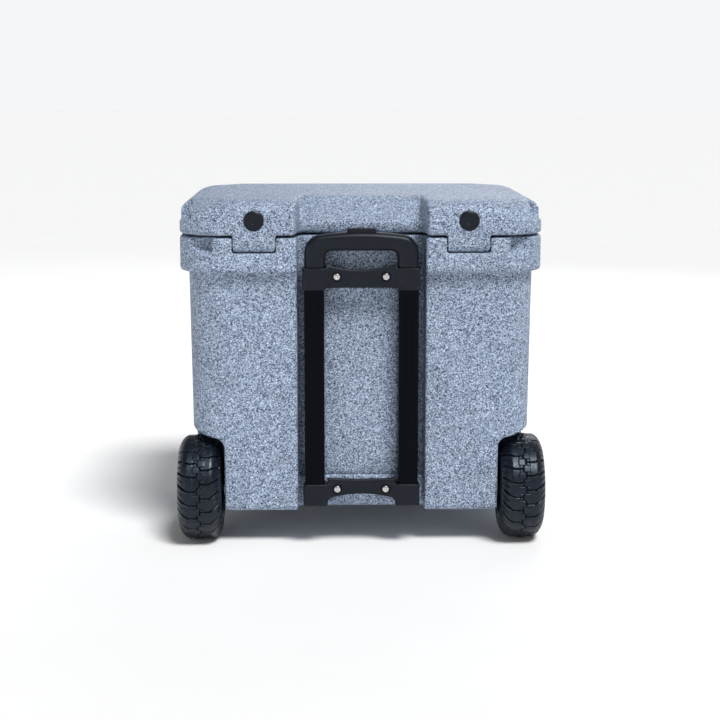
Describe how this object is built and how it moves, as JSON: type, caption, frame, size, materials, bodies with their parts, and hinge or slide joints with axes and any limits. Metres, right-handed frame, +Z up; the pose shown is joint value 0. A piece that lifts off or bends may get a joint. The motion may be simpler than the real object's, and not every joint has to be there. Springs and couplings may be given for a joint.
{
  "type": "wheeled cooler",
  "caption": "Hard-sided insulated cooler with a hinged lid, rubber latches, a telescoping pull handle in a rear channel and chunky rubber-tyred wheels on a through axle.",
  "frame": {"origin": "on the ground under the middle of the bounding box, halfway between the backs of the tyres and the fronts of the latches", "axes": "+X to the right when the handle side is looked at, +Y from the handle side to the latch side, +Z up"},
  "size_m": [0.528, 0.4607, 0.4928],
  "materials": {
    "granite_plastic": "matte",
    "insulation_foam": "matte",
    "black_plastic": "satin",
    "wheel_plastic": "satin",
    "black_rubber": "matte",
    "tyre_rubber": "matte",
    "black_anodised": "satin",
    "bare_aluminium": "satin",
    "stainless_steel": "satin",
    "white_nylon": "satin"
  },
  "bodies": {
    "cooler_body": {"body_shell": "granite_plastic", "body_foam": "insulation_foam", "body_port_plug": "black_plastic", "front_foot_left": "black_rubber", "front_foot_right": "black_rubber", "drain_tube": "black_plastic", "drain_seal": "black_rubber", "hinge_pin_left": "stainless_steel", "hinge_pin_right": "stainless_steel", "upper_bracket": "black_plastic", "lower_bracket": "black_plastic", "upper_bracket_screw_left": "stainless_steel", "upper_bracket_screw_right": "stainless_steel", "lower_bracket_screw_left": "stainless_steel", "lower_bracket_screw_right": "stainless_steel", "outer_tube_left": "black_anodised", "outer_tube_right": "black_anodised", "axle_rod": "stainless_steel", "axle_sleeve": "white_nylon", "axle_washer_left": "stainless_steel", "axle_washer_right": "stainless_steel", "axle_cap_left": "black_plastic", "axle_cap_right": "black_plastic"},
    "lid": {"lid_shell": "granite_plastic", "lid_foam": "insulation_foam", "lid_gasket": "black_rubber", "lid_port_plug_left": "black_plastic", "lid_port_plug_right": "black_plastic", "tie_down_screw_left": "stainless_steel", "tie_down_screw_right": "stainless_steel", "latch_pin_left": "stainless_steel", "latch_pin_right": "stainless_steel"},
    "latch_left": {"latch_left": "black_rubber"},
    "latch_right": {"latch_right": "black_rubber"},
    "wheel_left": {"tyre_left": "tyre_rubber", "wheel_rim_left": "wheel_plastic", "wheel_bearing_left": "white_nylon"},
    "wheel_right": {"tyre_right": "tyre_rubber", "wheel_rim_right": "wheel_plastic", "wheel_bearing_right": "white_nylon"},
    "handle_middle_stage": {"middle_tube_left": "black_anodised", "middle_tube_right": "black_anodised"},
    "handle_upper_stage": {"inner_tube_left": "bare_aluminium", "inner_tube_right": "bare_aluminium", "handle_grip": "black_plastic", "button_spring": "stainless_steel"},
    "release_button": {"release_button": "black_plastic"},
    "drain_cap": {"drain_cap": "black_plastic"}
  },
  "joints": [
    {"name": "lid_hinge", "type": "hinge", "parent": "cooler_body", "child": "lid", "pos_m": [0, -0.203, 0.431], "axis": [1, 0, 0], "range_deg": [0, 95]},
    {"name": "latch_left_hinge", "type": "hinge", "parent": "lid", "child": "latch_left", "pos_m": [-0.14, 0.211, 0.462], "axis": [1, 0, 0], "range_deg": [0, 150]},
    {"name": "latch_right_hinge", "type": "hinge", "parent": "lid", "child": "latch_right", "pos_m": [0.14, 0.211, 0.462], "axis": [1, 0, 0], "range_deg": [0, 150]},
    {"name": "wheel_left_spin", "type": "hinge", "parent": "cooler_body", "child": "wheel_left", "pos_m": [-0.231, -0.155, 0.0755], "axis": [1, 0, 0], "continuous": true},
    {"name": "wheel_right_spin", "type": "hinge", "parent": "cooler_body", "child": "wheel_right", "pos_m": [0.231, -0.155, 0.0755], "axis": [1, 0, 0], "continuous": true},
    {"name": "handle_middle_slide", "type": "slide", "parent": "cooler_body", "child": "handle_middle_stage", "axis": [0, 0, 1], "range_m": [0, 0.25]},
    {"name": "handle_upper_slide", "type": "slide", "parent": "handle_middle_stage", "child": "handle_upper_stage", "axis": [0, 0, 1], "range_m": [0, 0.25]},
    {"name": "button_press", "type": "slide", "parent": "handle_upper_stage", "child": "release_button", "axis": [0, 0, -1], "range_m": [0, 0.004], "stiffness_N_per_m": 300, "springref_m": -0.003, "deforming": ["button_spring"]},
    {"name": "drain_cap_turn", "type": "hinge", "parent": "cooler_body", "child": "drain_cap", "pos_m": [0.23, 0.087, 0.118], "axis": [1, 0, 0], "range_deg": [0, 360]}
  ]
}
